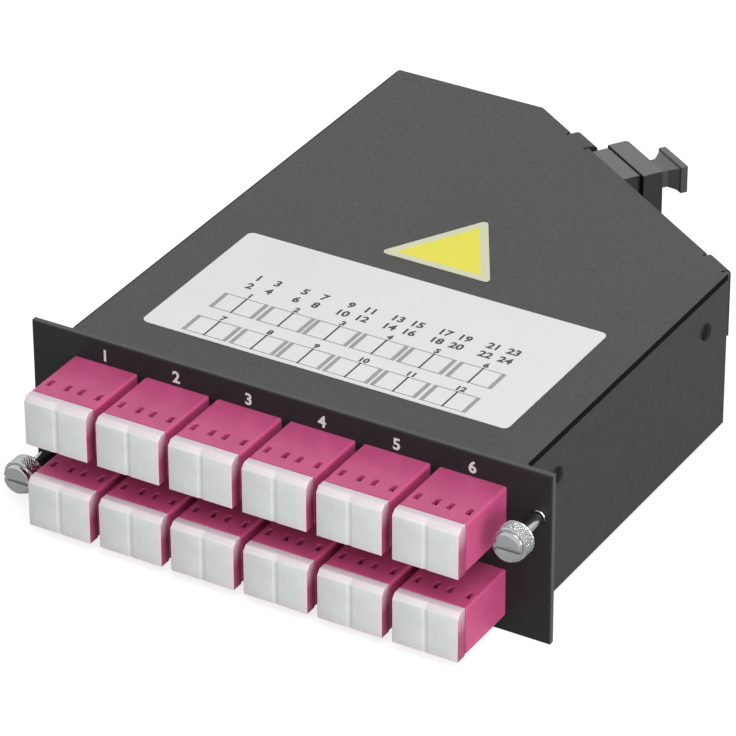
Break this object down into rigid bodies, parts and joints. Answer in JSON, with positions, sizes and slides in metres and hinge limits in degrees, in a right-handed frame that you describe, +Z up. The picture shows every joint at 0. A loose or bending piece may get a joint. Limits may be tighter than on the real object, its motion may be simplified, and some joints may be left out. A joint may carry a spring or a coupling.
{
  "type": "fibre cassette",
  "caption": "Sheet-metal fibre patching cassette with duplex LC ports on the front plate, captive screws and a multi-fibre port in an angled rear wall.",
  "frame": {"origin": "centre of the front plate's rear face", "axes": "+Y backwards into the rack, +Z up, +X to the right seen from the front"},
  "size_m": [0.1036, 0.131, 0.0334],
  "materials": {
    "plate_black": "fine matt powder coat",
    "housing_black": "fine matt powder coat",
    "screw_black": "black oxide",
    "screw_steel": "bright nickel plate",
    "ring_steel": "spring steel",
    "adapter_violet": "satin moulded plastic",
    "cap_white": "slightly translucent moulded plastic",
    "mpo_body": "satin moulded plastic",
    "mpo_cap": "satin moulded plastic",
    "plug_body": "satin moulded plastic",
    "fibre_jacket": "soft jacket",
    "guide_plastic": "moulded plastic",
    "label_white": "matt printed film",
    "label_yellow": "matt printed film"
  },
  "bodies": {
    "housing": {"front_plate": "plate_black", "base_tray": "housing_black", "lid": "housing_black", "lid_screws": "screw_black", "mpo_adapter": "mpo_body", "mpo_plug": "plug_body", "fibre_loop": "fibre_jacket", "fibre_guides": "guide_plastic", "port_label": "label_white", "triangle_label": "label_yellow", "lc_adapter_01": "adapter_violet", "lc_plug_pair_01": "plug_body", "lc_adapter_02": "adapter_violet", "lc_plug_pair_02": "plug_body", "lc_adapter_03": "adapter_violet", "lc_plug_pair_03": "plug_body", "lc_adapter_04": "adapter_violet", "lc_plug_pair_04": "plug_body", "lc_adapter_05": "adapter_violet", "lc_plug_pair_05": "plug_body", "lc_adapter_06": "adapter_violet", "lc_plug_pair_06": "plug_body", "lc_adapter_07": "adapter_violet", "lc_plug_pair_07": "plug_body", "lc_adapter_08": "adapter_violet", "lc_plug_pair_08": "plug_body", "lc_adapter_09": "adapter_violet", "lc_plug_pair_09": "plug_body", "lc_adapter_10": "adapter_violet", "lc_plug_pair_10": "plug_body", "lc_adapter_11": "adapter_violet", "lc_plug_pair_11": "plug_body", "lc_adapter_12": "adapter_violet", "lc_plug_pair_12": "plug_body"},
    "lc_cap_01": {"lc_dust_cap_01": "cap_white"},
    "lc_cap_02": {"lc_dust_cap_02": "cap_white"},
    "lc_cap_03": {"lc_dust_cap_03": "cap_white"},
    "lc_cap_04": {"lc_dust_cap_04": "cap_white"},
    "lc_cap_05": {"lc_dust_cap_05": "cap_white"},
    "lc_cap_06": {"lc_dust_cap_06": "cap_white"},
    "lc_cap_07": {"lc_dust_cap_07": "cap_white"},
    "lc_cap_08": {"lc_dust_cap_08": "cap_white"},
    "lc_cap_09": {"lc_dust_cap_09": "cap_white"},
    "lc_cap_10": {"lc_dust_cap_10": "cap_white"},
    "lc_cap_11": {"lc_dust_cap_11": "cap_white"},
    "lc_cap_12": {"lc_dust_cap_12": "cap_white"},
    "mpo_cap": {"mpo_dust_cap": "mpo_cap"},
    "ring_left": {"retaining_ring_left": "ring_steel"},
    "screw_left": {"thumb_screw_left": "screw_steel"},
    "ring_right": {"retaining_ring_right": "ring_steel"},
    "screw_right": {"thumb_screw_right": "screw_steel"}
  },
  "joints": [
    {"name": "lc_cap_01_pull", "type": "slide", "parent": "housing", "child": "lc_cap_01", "axis": [0, -1, 0], "range_m": [0, 0.012]},
    {"name": "lc_cap_02_pull", "type": "slide", "parent": "housing", "child": "lc_cap_02", "axis": [0, -1, 0], "range_m": [0, 0.012]},
    {"name": "lc_cap_03_pull", "type": "slide", "parent": "housing", "child": "lc_cap_03", "axis": [0, -1, 0], "range_m": [0, 0.012]},
    {"name": "lc_cap_04_pull", "type": "slide", "parent": "housing", "child": "lc_cap_04", "axis": [0, -1, 0], "range_m": [0, 0.012]},
    {"name": "lc_cap_05_pull", "type": "slide", "parent": "housing", "child": "lc_cap_05", "axis": [0, -1, 0], "range_m": [0, 0.012]},
    {"name": "lc_cap_06_pull", "type": "slide", "parent": "housing", "child": "lc_cap_06", "axis": [0, -1, 0], "range_m": [0, 0.012]},
    {"name": "lc_cap_07_pull", "type": "slide", "parent": "housing", "child": "lc_cap_07", "axis": [0, -1, 0], "range_m": [0, 0.012]},
    {"name": "lc_cap_08_pull", "type": "slide", "parent": "housing", "child": "lc_cap_08", "axis": [0, -1, 0], "range_m": [0, 0.012]},
    {"name": "lc_cap_09_pull", "type": "slide", "parent": "housing", "child": "lc_cap_09", "axis": [0, -1, 0], "range_m": [0, 0.012]},
    {"name": "lc_cap_10_pull", "type": "slide", "parent": "housing", "child": "lc_cap_10", "axis": [0, -1, 0], "range_m": [0, 0.012]},
    {"name": "lc_cap_11_pull", "type": "slide", "parent": "housing", "child": "lc_cap_11", "axis": [0, -1, 0], "range_m": [0, 0.012]},
    {"name": "lc_cap_12_pull", "type": "slide", "parent": "housing", "child": "lc_cap_12", "axis": [0, -1, 0], "range_m": [0, 0.012]},
    {"name": "mpo_cap_pull", "type": "slide", "parent": "housing", "child": "mpo_cap", "axis": [0.5527, 0.8334, 0], "range_m": [0, 0.01]},
    {"name": "screw_left_drive", "type": "slide", "parent": "housing", "child": "ring_left", "axis": [0, 1, 0], "range_m": [0, 0.0055]},
    {"name": "screw_left_turn", "type": "hinge", "parent": "ring_left", "child": "screw_left", "pos_m": [-0.0486, 0, -0.00958], "axis": [0, 1, 0], "continuous": true},
    {"name": "screw_right_drive", "type": "slide", "parent": "housing", "child": "ring_right", "axis": [0, 1, 0], "range_m": [0, 0.0055]},
    {"name": "screw_right_turn", "type": "hinge", "parent": "ring_right", "child": "screw_right", "pos_m": [0.0486, 0, 0.00782], "axis": [0, 1, 0], "continuous": true}
  ]
}
